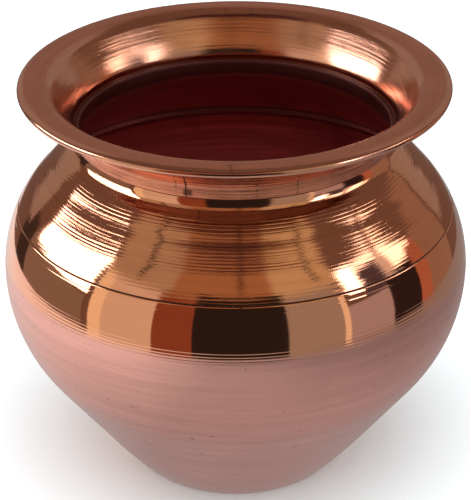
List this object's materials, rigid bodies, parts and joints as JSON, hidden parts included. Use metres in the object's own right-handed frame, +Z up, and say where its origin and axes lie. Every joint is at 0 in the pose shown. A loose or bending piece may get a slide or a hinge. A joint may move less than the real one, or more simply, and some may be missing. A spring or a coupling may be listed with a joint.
{
  "type": "copper kalash pot",
  "caption": "Round-bellied copper water pot with a short neck, a wide flared mouth with a rolled edge, and a tapering bowl on a narrow flat base.",
  "frame": {"origin": "middle of the rest ring, on the floor", "axes": "+Z up along the pot's axis of revolution; the side seen by the viewer faces -Y; +X to the viewer's right"},
  "size_m": [0.1272, 0.1272, 0.1133],
  "materials": {
    "collar_copper": "polished copper, softly worn, with fine turning lines",
    "shoulder_copper": "polished copper with close lathe lines",
    "bowl_copper": "polished copper, mirror bright on the belly and satin below",
    "seam_braze": "dull copper braze",
    "joint_braze": "dark oxidised copper braze"
  },
  "bodies": {
    "root": {"mouth_collar": "collar_copper", "collar_seam_braze": "seam_braze", "neck_joint_braze": "joint_braze", "shoulder_shell": "shoulder_copper", "belly_joint_braze": "joint_braze", "bowl_shell": "bowl_copper"}
  },
  "joints": []
}
